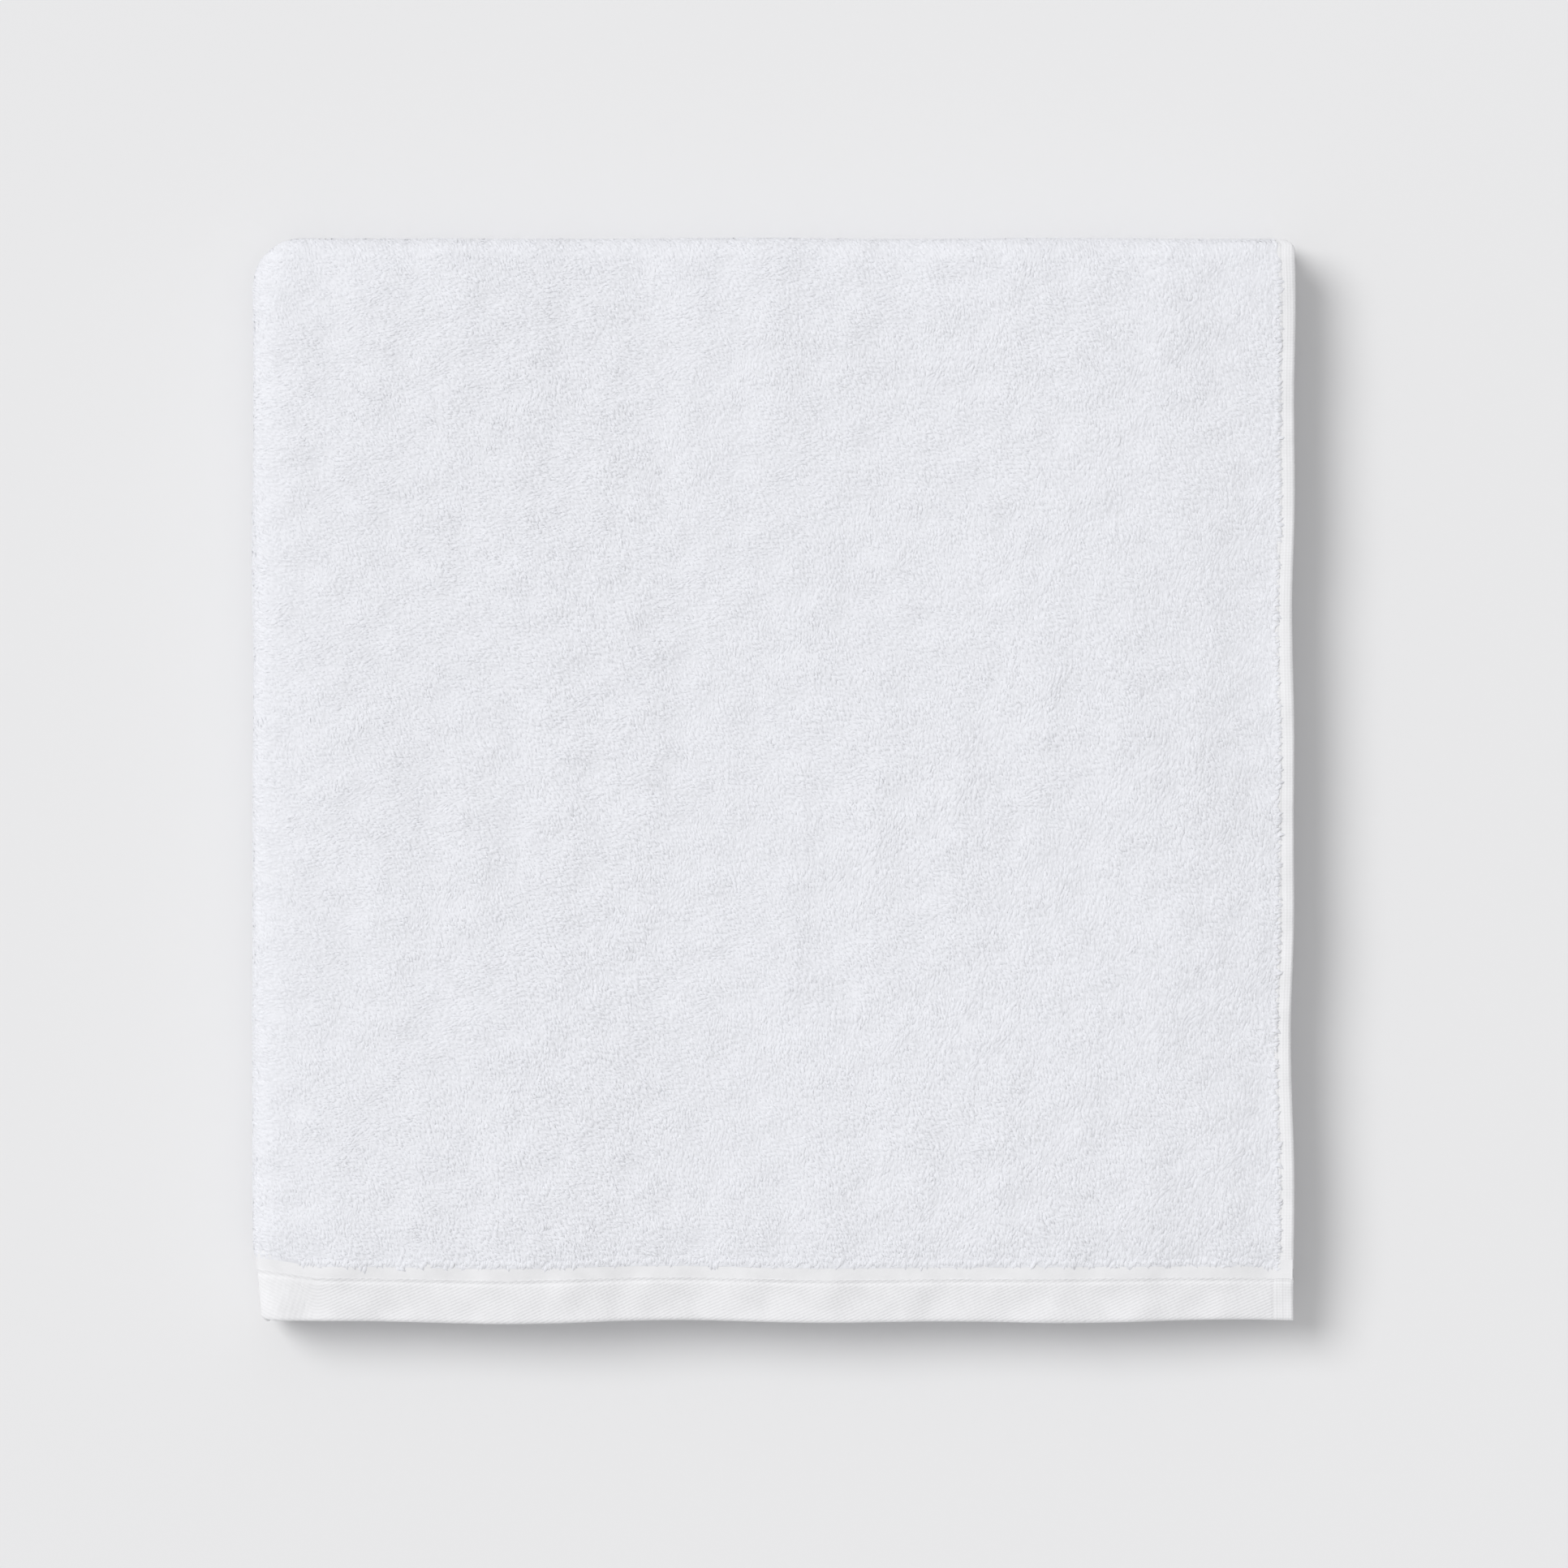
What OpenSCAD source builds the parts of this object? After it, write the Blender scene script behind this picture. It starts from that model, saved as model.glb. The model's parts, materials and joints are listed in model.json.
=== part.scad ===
// Folded terry bath towel, in millimetres, with +Z up.
// The towel is folded in half end to end, in half again, and last in half across its width,
// so eight plies lie in the stack. The origin is the centre of the stack's underside.
// The last fold is along the -X edge, the end hems lie along the -Y edge, the side hems along
// the +X edge and the quarter folds along the +Y edge.

/* [Cloth] */
// Width of the towel laid out flat, between its side hems
towel_w = 711; // [500:1:1000]
// Length of the towel laid out flat, between its end hems
towel_l = 1480; // [1000:1:2000]
// Thickness of one ply with the pile of both its faces
ply_t = 3.4; // [2.6:0.1:6]
// Air between two plies of the stack
ply_gap = 0.4; // [0.2:0.1:1.5]

/* [End hems] */
// Depth of the flat woven end that is turned under and sewn down
end_hem_d = 14.5; // [8:0.5:40]
// Single flat woven strip between the end hem and the pile
header_d = 4; // [1:0.5:15]
// Thickness of the header strip, as a share of one ply
header_share = 0.35; // [0.2:0.05:0.6]

/* [Side hems] */
// Width of the turned side hem
side_hem_w = 7; // [4:0.5:20]
// Thickness of every hem, as a share of one ply
hem_share = 0.65; // [0.5:0.05:0.85]

/* [Sewing] */
// Diameter of the sewing thread
thread_d = 0.5; // [0.2:0.05:0.6]
// Distance of the side seam from the side edge, as a share of the side hem
side_seam_share = 0.6; // [0.3:0.05:0.8]
// Distance of the end seam from the end edge, as a share of the end hem
end_seam_share = 0.95; // [0.6:0.05:0.95]

/* [Folding] */
// Distance the middle fold stays back from the end hems
middle_fold_back = 2; // [0:0.5:20]

/* [Care label] */
// Length of the blank care label
label_l = 45; // [20:1:100]
// Width of the blank care label
label_w = 30; // [10:1:60]

/* [Hidden] */
$fn = 96;

pile_white = [0.93, 0.94, 0.96];
hem_white = [0.96, 0.96, 0.96];
thread_white = [0.99, 0.99, 0.99];
label_white = [0.98, 0.98, 0.95];

// Plies of one half of the stack, counted outward from the plane of the last fold
plies_per_half = 4;
inner_end_ply = 2;
outer_end_ply = 3;

pitch = ply_t + ply_gap;
half_h = plies_per_half * pitch - ply_gap / 2;
outer_turn_r = 1.5 * pitch;
inner_turn_r = 0.5 * pitch;
quarter_fold_mid = ply_mid(1.5);
middle_fold_mid = ply_mid(0.5);

folded_w = towel_w / 2;
folded_l = towel_l / 4;
right_x = folded_w / 2;
hinge_x = half_h - folded_w / 2;
hinge_to_edge = right_x - hinge_x;

front_y = -folded_l / 2;
pile_start_y = front_y + end_hem_d + header_d;
quarter_fold_y = folded_l / 2 - outer_turn_r - ply_t / 2;
middle_fold_y = front_y + middle_fold_back + inner_turn_r + ply_t / 2;

hem_t = hem_share * ply_t;
header_t = header_share * ply_t;
end_seam_y = front_y + end_seam_share * end_hem_d;
side_seam_in = side_seam_share * side_hem_w;
thread_offset = hem_t / 2 - thread_d / 4;
groove_w = thread_d + 0.1;
faces = [-1, 1];

// Distance of a ply's middle from the plane of the last fold
function ply_mid(index) = ply_gap / 2 + ply_t / 2 + index * pitch;

// ---- Flat profiles: the first coordinate is the distance from the plane of the last fold,
// the second runs from the end hems to the quarter folds ----

// A round end of a given radius on two straight sides
module round_end(radius, straight) {
    circle(r = radius);
    translate([-radius, -straight])
        square([2 * radius, straight]);
}

// The cloth turned back on itself, towards +Y or -Y. Its sides lie over the plies it joins.
module turn_back(mid, y, radius, thickness, towards) {
    translate([mid, y])
        mirror([0, towards > 0 ? 0 : 1])
            difference() {
                round_end(radius + thickness / 2, pitch);
                round_end(radius - thickness / 2, 2 * pitch);
            }
}

// One flat ply
module flat_ply(index, thickness, offset, from_y, to_y) {
    translate([ply_mid(index) + offset - thickness / 2, from_y])
        square([thickness, to_y - from_y]);
}

// The cloth from one end hem to the other, or a strip at an offset towards its outer face
module cloth_run(thickness, offset = 0) {
    flat_ply(outer_end_ply, thickness, offset, pile_start_y, quarter_fold_y);
    turn_back(quarter_fold_mid, quarter_fold_y, outer_turn_r + offset, thickness, 1);
    flat_ply(0, thickness, -offset, middle_fold_y, quarter_fold_y);
    turn_back(middle_fold_mid, middle_fold_y, inner_turn_r + offset, thickness, -1);
    flat_ply(1, thickness, offset, middle_fold_y, quarter_fold_y);
    turn_back(quarter_fold_mid, quarter_fold_y, inner_turn_r - offset, thickness, 1);
    flat_ply(inner_end_ply, thickness, -offset, pile_start_y, quarter_fold_y);
}

// A sewn end: the thin header strip, then the turned hem with its rounded edge
module end_hem_profile(index) {
    hem_end_y = front_y + hem_t / 2;
    difference() {
        union() {
            flat_ply(index, hem_t, 0, hem_end_y, front_y + end_hem_d);
            flat_ply(index, header_t, 0, front_y + end_hem_d, pile_start_y);
            translate([ply_mid(index), hem_end_y])
                circle(d = hem_t);
        }
        for (face = faces)
            translate([ply_mid(index) + face * thread_offset, end_seam_y])
                square([groove_w, groove_w], center = true);
    }
}

// The needle thread and the bobbin thread of an end seam
module end_seam_profile(index) {
    for (face = faces)
        translate([ply_mid(index) + face * thread_offset, end_seam_y])
            circle(d = thread_d);
}

// ---- Placing a profile on the towel ----

// Stands a profile on the +X edge, above or below the plane of the last fold
module on_half(upper) {
    translate([right_x, 0, half_h])
        mirror([0, 0, upper ? 0 : 1])
            rotate([0, -90, 0])
                children();
}

// Runs a profile from a distance inside the +X edge to the last fold
module across_half(upper, inset = 0) {
    on_half(upper)
        translate([0, 0, inset])
            linear_extrude(hinge_to_edge - inset)
                children();
}

// Turns a profile round the last fold, from the lower half to the upper half
module round_last_fold() {
    translate([hinge_x, 0, half_h])
        rotate([-90, 90, 0])
            rotate_extrude(angle = 180)
                children();
}

// ---- Sub-parts ----

module terry_half(upper) {
    color(pile_white)
        across_half(upper, side_hem_w)
            cloth_run(ply_t);
}

module terry_last_fold() {
    color(pile_white)
        round_last_fold()
            cloth_run(ply_t);
}

module end_hem_half(index, upper) {
    color(hem_white)
        across_half(upper)
            end_hem_profile(index);
}

module end_hem_fold(index) {
    color(hem_white)
        round_last_fold()
            end_hem_profile(index);
}

module end_seam_half(index, upper) {
    color(thread_white)
        across_half(upper)
            end_seam_profile(index);
}

module end_seam_fold(index) {
    color(thread_white)
        round_last_fold()
            end_seam_profile(index);
}

module side_hem(upper) {
    color(hem_white)
        on_half(upper)
            difference() {
                linear_extrude(side_hem_w)
                    cloth_run(hem_t);
                for (face = faces)
                    translate([0, 0, side_seam_in - groove_w / 2])
                        linear_extrude(groove_w)
                            cloth_run(groove_w, face * thread_offset);
            }
}

module side_seam(upper) {
    color(thread_white)
        on_half(upper)
            for (face = faces)
                translate([0, 0, side_seam_in - thread_d / 2])
                    linear_extrude(thread_d)
                        cloth_run(thread_d, face * thread_offset);
}

// A blank ribbon lying in the gap under the outer ply of the lower half
module care_label() {
    color(label_white)
        on_half(false)
            translate([ply_mid(inner_end_ply + 0.5) - ply_gap / 4, pile_start_y, side_hem_w])
                cube([ply_gap / 2, label_w, label_l]);
}

terry_half(true);  // terry_upper_half
terry_half(false);  // terry_lower_half
terry_last_fold();
end_hem_half(outer_end_ply, true);  // outer_end_hem_upper
end_hem_half(outer_end_ply, false);  // outer_end_hem_lower
end_hem_fold(outer_end_ply);  // outer_end_hem_fold
end_hem_half(inner_end_ply, true);  // inner_end_hem_upper
end_hem_half(inner_end_ply, false);  // inner_end_hem_lower
end_hem_fold(inner_end_ply);  // inner_end_hem_fold
end_seam_half(outer_end_ply, true);  // outer_end_seam_upper
end_seam_half(outer_end_ply, false);  // outer_end_seam_lower
end_seam_fold(outer_end_ply);  // outer_end_seam_fold
end_seam_half(inner_end_ply, true);  // inner_end_seam_upper
end_seam_half(inner_end_ply, false);  // inner_end_seam_lower
end_seam_fold(inner_end_ply);  // inner_end_seam_fold
side_hem(true);  // side_hem_upper
side_hem(false);  // side_hem_lower
side_seam(true);  // side_seam_upper
side_seam(false);  // side_seam_lower
care_label();
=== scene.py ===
"""Folded cotton terry bath towel: its cloth, pile, hems, seams and studio.

The towel is laid out flat, as it comes off the loom, in flat places (across, along, lift).
One rule, fold_up, then folds every piece the same way, and one more, settle, lets the stack
sag and spread as soft cloth does."""

import json
import math

import bmesh
import bpy
import numpy as np
from bpy.props import FloatProperty, FloatVectorProperty, IntProperty, PointerProperty
from mathutils import Matrix, Vector


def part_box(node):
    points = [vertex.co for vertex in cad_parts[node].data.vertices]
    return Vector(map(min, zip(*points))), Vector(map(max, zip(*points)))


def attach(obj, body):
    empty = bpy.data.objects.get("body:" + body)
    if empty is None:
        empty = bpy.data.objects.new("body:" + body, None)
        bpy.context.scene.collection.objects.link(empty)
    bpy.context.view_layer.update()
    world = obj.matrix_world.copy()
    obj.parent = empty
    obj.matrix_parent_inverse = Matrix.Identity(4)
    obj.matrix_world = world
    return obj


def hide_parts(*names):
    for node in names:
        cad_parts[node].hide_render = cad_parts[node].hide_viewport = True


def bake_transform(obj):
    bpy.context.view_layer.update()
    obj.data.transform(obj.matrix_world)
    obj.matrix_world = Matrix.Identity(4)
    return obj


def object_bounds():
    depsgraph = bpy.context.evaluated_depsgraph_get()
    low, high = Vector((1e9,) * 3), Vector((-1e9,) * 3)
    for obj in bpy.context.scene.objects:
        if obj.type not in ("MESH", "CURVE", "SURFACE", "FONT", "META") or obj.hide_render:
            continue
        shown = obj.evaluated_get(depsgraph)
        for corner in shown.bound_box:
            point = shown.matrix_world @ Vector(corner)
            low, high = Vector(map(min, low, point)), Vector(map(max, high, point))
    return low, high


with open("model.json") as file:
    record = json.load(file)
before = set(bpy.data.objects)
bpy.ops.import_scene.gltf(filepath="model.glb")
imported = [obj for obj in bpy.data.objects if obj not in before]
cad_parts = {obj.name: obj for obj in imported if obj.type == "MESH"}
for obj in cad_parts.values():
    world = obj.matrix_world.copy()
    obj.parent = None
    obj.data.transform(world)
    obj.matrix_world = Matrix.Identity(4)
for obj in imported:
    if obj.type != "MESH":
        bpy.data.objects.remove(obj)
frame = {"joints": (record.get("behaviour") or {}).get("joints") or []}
cad_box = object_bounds()

bl_info = {
    "name": "Folded Terry Towel",
    "version": (1, 0, 0),
    "blender": (4, 5, 0),
    "location": "View3D > Sidebar > Towel",
    "description": "Builds a folded cotton terry bath towel on its frame",
    "category": "Add Mesh",
}

MM = 0.001
UPPER = "upper_half"
LOWER = "lower_half"

# ---- The folded stack, measured on the frame ----

LAST_FOLD = frame["joints"][0]
HINGE_X, _, HINGE_Z = LAST_FOLD["pos_m"]
STACK_LOW, STACK_HIGH = cad_box
LEFT_X = STACK_LOW.x
RIGHT_X = STACK_HIGH.x
FRONT_Y = STACK_LOW.y
BACK_Y = STACK_HIGH.y
HALF_W = RIGHT_X - HINGE_X


def middle(node):
    """The centre of a node's box."""
    low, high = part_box(node)
    return (low + high) / 2


PITCH = middle("outer_end_hem_upper").z - middle("inner_end_hem_upper").z
PLY_GAP = 2 * (4 * PITCH - HINGE_Z)
PLY_T = PITCH - PLY_GAP
PILE_START_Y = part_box("outer_end_hem_upper")[1].y
QUARTER_Y = BACK_Y - 1.5 * PITCH - PLY_T / 2
MIDDLE_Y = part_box("terry_upper_half")[0].y + (PITCH + PLY_T) / 2
SIDE_HEM_W = RIGHT_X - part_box("side_hem_upper")[0].x
SIDE_SEAM_IN = RIGHT_X - middle("side_seam_upper").x
END_SEAM_V = middle("outer_end_seam_upper").y - FRONT_Y
END_BAND = PILE_START_Y - FRONT_Y

# ---- The cloth's run from one end hem to the other, in the plane of the hinge radius and Y ----


def straight(name, radius, start_y, end_y, outward):
    """A flat stretch of the run. outward is 1 where its face side points away from the hinge."""
    return {
        "name": name, "length": abs(end_y - start_y), "radius": radius,
        "start_y": start_y, "way": math.copysign(1, end_y - start_y), "outward": outward,
    }


def turn(name, centre, centre_y, radius, start, end, face):
    """A half turn between two angles. face is 1 where its face side is outside the turn."""
    return {
        "name": name, "length": math.pi * radius, "centre": centre, "centre_y": centre_y,
        "turn_radius": radius, "start": start, "end": end, "face": face,
    }


RUN = [
    straight("outer_band", 3.5 * PITCH, FRONT_Y, PILE_START_Y, 1),
    straight("outer_ply", 3.5 * PITCH, PILE_START_Y, QUARTER_Y, 1),
    turn("outer_quarter_turn", 2 * PITCH, QUARTER_Y, 1.5 * PITCH, 0, math.pi, 1),
    straight("facing_ply", 0.5 * PITCH, QUARTER_Y, MIDDLE_Y, -1),
    turn("middle_turn", PITCH, MIDDLE_Y, 0.5 * PITCH, math.pi, 2 * math.pi, 1),
    straight("second_ply", 1.5 * PITCH, MIDDLE_Y, QUARTER_Y, 1),
    turn("inner_quarter_turn", 2 * PITCH, QUARTER_Y, 0.5 * PITCH, math.pi, 0, -1),
    straight("third_ply", 2.5 * PITCH, QUARTER_Y, PILE_START_Y, -1),
    straight("inner_band", 2.5 * PITCH, PILE_START_Y, FRONT_Y, -1),
]
SPAN = {}
for stretch in RUN:
    start_v = max((end for _, end in SPAN.values()), default=0.0)
    SPAN[stretch["name"]] = (start_v, start_v + stretch["length"])
RUN_LENGTH = SPAN["inner_band"][1]


def run_place(v):
    """Hinge radius, Y and the face side's direction at distances v along the run."""
    radius, y, out_r, out_y = (np.zeros_like(v) for _ in range(4))
    for stretch in RUN:
        low, high = SPAN[stretch["name"]]
        last = high >= RUN_LENGTH
        here = (v >= low if low > 0 else v > -1) & (v < high if not last else v < high + 1)
        far = v[here] - low
        if "radius" in stretch:
            radius[here] = stretch["radius"]
            y[here] = stretch["start_y"] + stretch["way"] * far
            out_r[here] = stretch["outward"]
        else:
            share = far / stretch["length"]
            angle = stretch["start"] + (stretch["end"] - stretch["start"]) * share
            radius[here] = stretch["centre"] + stretch["turn_radius"] * np.cos(angle)
            y[here] = stretch["centre_y"] + stretch["turn_radius"] * np.sin(angle)
            out_r[here] = stretch["face"] * np.cos(angle)
            out_y[here] = stretch["face"] * np.sin(angle)
    return radius, y, out_r, out_y


def along(name, share):
    """The distance along the run at a share of one of its stretches."""
    low, high = SPAN[name]
    return low + (high - low) * share


# ---- Smooth random fields, folding and settling ----


class Ripples:
    """A smooth random field of about one wavelength, from seeded waves in every direction."""

    def __init__(self, seed, wavelength, waves=9, dimensions=3):
        rng = np.random.default_rng(seed)
        ways = rng.normal(size=(waves, dimensions))
        ways /= np.linalg.norm(ways, axis=1)[:, None]
        lengths = wavelength * rng.uniform(0.7, 1.4, size=waves)
        self.ways = ways * (2 * math.pi / lengths)[:, None]
        self.phases = rng.uniform(0, 2 * math.pi, size=waves)
        self.size = math.sqrt(2 / waves)

    def __call__(self, places):
        field = np.zeros(len(places))
        for way, phase in zip(self.ways, self.phases):
            field += np.sin(places @ way + phase)
        return field * self.size


def rise(value, start, end):
    """A smooth step from 0 at start to 1 at end."""
    share = np.clip((value - start) / (end - start), 0, 1)
    return share * share * (3 - 2 * share)


# A pressed fold is squarer than a half circle, for which this power would be 2.
FOLD_POWER = 3.6

# The halves stop short of the last fold's axis, to leave room as it opens, and the fold's
# own pieces lap past it to meet them, sunk a little so that no faces coincide.
ROOM = 0.5 * MM
LAP = 2.2 * MM
LAP_SINK = 0.03 * MM


def fold_up(part, across, v, lift, turn_r=1.0):
    """Folds flat places. across is the distance in from the side edge on a half of the towel.
    On the last fold it is the angle turned from the upper half, and turn_r is the radius
    that makes its laps as long as they are flat."""
    radius, y, out_r, out_y = run_place(v)
    radius = radius + out_r * lift
    y = y + out_y * lift
    if part == "fold":
        angle = np.clip(across, 0, math.pi)
        past = np.abs(across - angle)
        side, top = np.sin(angle), np.cos(angle)
        square = (np.abs(side) ** FOLD_POWER + np.abs(top) ** FOLD_POWER) ** (-1 / FOLD_POWER)
        x = HINGE_X - radius * square * side + turn_r * past
        z = HINGE_Z + (radius * square - LAP_SINK * (past > 0)) * top
    else:
        x = RIGHT_X - across
        z = HINGE_Z + (radius if part == "upper" else -radius)
    return np.stack([x, y, z], axis=1)


# How far in from each edge of the stack it sags, and by what share of its height. The sag
# is still growing a little way outside the edges.
SHOULDER_IN, SHOULDER_OUT, SHOULDER_DROP = 46 * MM, 8 * MM, 0.24
SIDE_SAG_IN, SIDE_DROP = 46 * MM, 0.22
FRONT_SAG_IN, FRONT_DROP = 34 * MM, 0.26
BACK_SAG_IN, BACK_DROP = 30 * MM, 0.1
SAG_OUT = 4 * MM

# Heights of the soft shapes of the top face, from the broadest to the finest.
SWELL_H, DIMPLE_H, CRUMPLE_H = 0.55 * MM, 0.24 * MM, 0.1 * MM
SWELL = Ripples(3, 95 * MM)
DIMPLE = Ripples(5, 22 * MM)
CRUMPLE = Ripples(6, 9 * MM)

# How far the plies' edges wander and tuck in, and how far the thin hems and their seam
# draw the last fold in.
EDGE_WANDER_X, EDGE_WANDER_Y, EDGE_TUCK = 0.4 * MM, 0.35 * MM, 1.8 * MM
EDGE_WAVE = Ripples(7, 70 * MM)
EDGE_WAVE_Y = Ripples(11, 80 * MM)
HEM_DRAW, SEAM_DRAW = 2.6 * MM, 3 * MM
CORNER_R = 17 * MM


def settle(places):
    """Lets the folded stack sag and spread: a long shoulder into the last fold, thin hemmed
    edges that sink onto each other, soft swells over the faces, and edges that don't line up."""
    x, y, z = places.T
    out = places.copy()
    shoulder = 1 - rise(x, LEFT_X - SHOULDER_OUT, LEFT_X + SHOULDER_IN)
    side_sag = rise(x, RIGHT_X - SIDE_SAG_IN, RIGHT_X + SAG_OUT)
    front_sag = 1 - rise(y, FRONT_Y - SAG_OUT, FRONT_Y + FRONT_SAG_IN)
    back_sag = rise(y, BACK_Y - BACK_SAG_IN, BACK_Y + SAG_OUT)
    # The middle of the stack stays level, so that the towel lies flat when it is opened.
    height = np.clip(z / HINGE_Z - 1, 0, 1)
    drop = SIDE_DROP * side_sag + FRONT_DROP * front_sag + BACK_DROP * back_sag
    sag = 1 - (z > HINGE_Z) * drop
    out[:, 2] = HINGE_Z + (z - HINGE_Z) * (1 - SHOULDER_DROP * shoulder**1.2) * sag
    flat = places * np.array([1.0, 1.0, 0.35])
    swell = SWELL_H * (SWELL(flat) - 1) + DIMPLE_H * DIMPLE(flat) + CRUMPLE_H * CRUMPLE(flat)
    out[:, 2] += height * swell
    out[:, 2] = np.maximum(out[:, 2], 0.05 * MM)
    # The plies' edges wander a little, and the lower ones tuck in under the top one.
    by_ply = places * np.array([0.8, 0.8, 9.0])
    near_edge = 0.35 + 0.65 * np.maximum(side_sag, front_sag)
    fold_side = 1 - rise(x, LEFT_X, LEFT_X + 26 * MM)
    tuck = EDGE_TUCK * (1 - rise(z, STACK_HIGH.z - 1.1 * PITCH, STACK_HIGH.z - 0.6 * PITCH))
    tuck = tuck * (1 - fold_side)
    out[:, 0] += EDGE_WANDER_X * near_edge * EDGE_WAVE(by_ply) - tuck * side_sag
    out[:, 1] += EDGE_WANDER_Y * near_edge * EDGE_WAVE_Y(by_ply) + tuck * front_sag
    # The thin hems draw the front of the last fold in.
    hem_side = 1 - rise(y, FRONT_Y, FRONT_Y + 26 * MM)
    out[:, 0] += HEM_DRAW * fold_side * hem_side
    seam_side = rise(y, FRONT_Y - 3 * MM, FRONT_Y + END_BAND) * (
        1 - rise(y, FRONT_Y + END_BAND, FRONT_Y + 60 * MM)
    )
    out[:, 1] += SEAM_DRAW * fold_side * seam_side
    # The corner between the last fold and the quarter folds is drawn in round. It is a
    # rounded square, about a curve of the fifth power, and becomes a circle.
    to_left = np.clip((LEFT_X + CORNER_R - out[:, 0]) / CORNER_R, 0, None)
    to_back = np.clip((out[:, 1] - BACK_Y + CORNER_R) / CORNER_R, 0, None)
    square = (to_left**5 + to_back**5) ** 0.2
    drawn = np.divide(square, np.hypot(to_left, to_back), out=np.ones_like(x), where=square > 0)
    out[:, 0] += CORNER_R * to_left * (1 - drawn)
    out[:, 1] -= CORNER_R * to_back * (1 - drawn)
    return out


# ---- Pieces ----


def linear(colour_hex):
    """An sRGB hex colour as linear RGBA."""
    parts = [int(colour_hex[i:i + 2], 16) / 255 for i in (1, 3, 5)]
    return tuple(c / 12.92 if c <= 0.04045 else ((c + 0.055) / 1.055) ** 2.4 for c in parts) + (1,)


def flat_cloth(across, run, thickness):
    """A slab of flat cloth with a vertex at every pair of the given places."""
    bm = bmesh.new()
    bmesh.ops.create_grid(
        bm, x_segments=len(across) - 1, y_segments=len(run) - 1, size=0.5
    )
    for vert in bm.verts:
        column = round((vert.co.x + 0.5) * (len(across) - 1))
        row = round((vert.co.y + 0.5) * (len(run) - 1))
        vert.co = (across[column], run[row], 0)
    if thickness:
        bmesh.ops.solidify(bm, geom=bm.faces[:], thickness=thickness)
        shift = sum(v.co.z for v in bm.verts) / len(bm.verts)
        bmesh.ops.translate(bm, verts=bm.verts, vec=(0, 0, -shift))
    return bm


def rim_steps(radius):
    """Places in from a slab's edge that let it round over."""
    return radius * (1 - np.cos(np.linspace(0, math.pi / 2, 5)))


def round_rim(flat, inward, radius):
    """Rounds a slab over at an edge. inward is the distance in from it."""
    share = np.clip(1 - inward / radius, 0, 1)
    flat[:, 2] *= np.maximum(np.sqrt(1 - share**2), 0.12)


RIB_TURN = HALF_W - 7 * MM


def keep_flat_places(bm, part, turn_r):
    """Stores each corner's flat place, in metres, for patterns that follow the cloth. The
    cloth is pulled askew at the last fold, so its diagonals turn back on themselves there."""
    grain = bm.loops.layers.uv.new("cloth_grain")
    for face in bm.faces:
        for corner in face.loops:
            across, along_run, _ = corner.vert.co
            if part == "fold":
                across = HALF_W + across * turn_r
            corner[grain].uv = (RIB_TURN - math.hypot(across - RIB_TURN, 2 * MM), along_run)


def fold_cloth(bm, part, shape=None, turn_r=1.0):
    """Shapes a slab in its flat places, then folds it and lets it settle."""
    keep_flat_places(bm, part, turn_r)
    flat = np.array([v.co for v in bm.verts])
    if shape:
        flat = shape(flat)
    placed = settle(fold_up(part, flat[:, 0], flat[:, 1], flat[:, 2], turn_r))
    for vert, place in zip(bm.verts, placed):
        vert.co = place
    bmesh.ops.recalc_face_normals(bm, faces=bm.faces[:])


def add_piece(name, data, materials):
    """Puts a slab or a mesh of loops in the scene, smooth but for a slab's cut edges."""
    if isinstance(data, bmesh.types.BMesh):
        mesh = bpy.data.meshes.new(name)
        data.to_mesh(mesh)
        data.free()
        mesh.shade_smooth()
        mesh.set_sharp_from_angle(angle=math.radians(70))
    else:
        mesh = data
        mesh.shade_smooth()
    for material in materials:
        mesh.materials.append(material)
    piece = bpy.data.objects.new(name, mesh)
    bpy.context.scene.collection.objects.link(piece)
    return piece


def fix(piece, part):
    """Makes a piece move with its part of the towel. A piece of the last fold keeps its place in
    the world."""
    if part == "fold":
        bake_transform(piece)
    else:
        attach(piece, UPPER if part == "upper" else LOWER)


def steps(start, end, size):
    """Even places from start to end, about size apart."""
    return np.linspace(start, end, max(2, round(abs(end - start) / size) + 1))


def arc_steps(count, radius):
    """Even angles round the last fold, with its lap at each end."""
    lap = LAP / radius
    return np.concatenate([[-lap], np.linspace(0, math.pi, count + 1), [math.pi + lap]])


def run_steps(start, end, size, turn_size):
    """Places along the run, closer together in its turns."""
    places = {start, end}
    for stretch in RUN:
        low, high = SPAN[stretch["name"]]
        low, high = max(low, start), min(high, end)
        if high > low:
            step = size if "radius" in stretch else turn_size
            places.update(np.round(steps(low, high, step), 7))
    ordered = sorted(places)
    kept = [ordered[0]]
    for place in ordered[1:]:
        if place - kept[-1] > 0.05 * MM:
            kept.append(place)
    return np.array(kept)


# ---- The pile: one loop of yarn, laid thousands of times ----


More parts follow.
